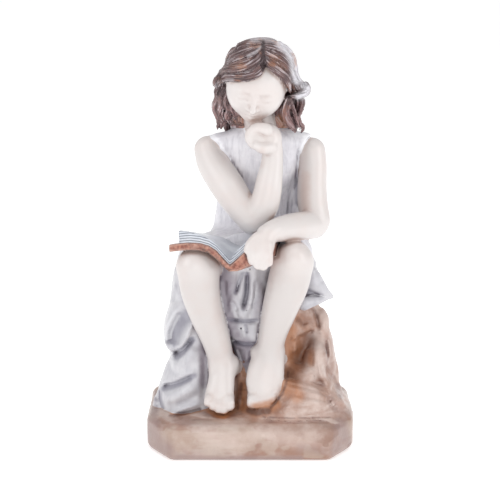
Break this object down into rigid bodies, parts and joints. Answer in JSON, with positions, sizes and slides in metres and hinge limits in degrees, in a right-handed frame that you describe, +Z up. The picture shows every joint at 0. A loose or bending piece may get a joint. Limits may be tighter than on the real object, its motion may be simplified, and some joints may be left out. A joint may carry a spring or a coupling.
{
  "type": "reading woman statue",
  "caption": "Painted resin statue of a young woman in a sleeveless dress who sits on a draped rock and reads an open book, on a chamfered base.",
  "frame": {"origin": "centre of the bounding box at the flat underside of the base", "axes": "+Z up, the figure faces -Y, +X towards the viewer's right"},
  "size_m": [0.1522, 0.1312, 0.3016],
  "materials": {
    "painted_resin": "semi-gloss hand-painted cast resin: ivory skin, pale blue-grey dress, umber hair, tan rock and base"
  },
  "bodies": {
    "root": {"reading_woman_statue": "painted_resin"}
  },
  "joints": []
}
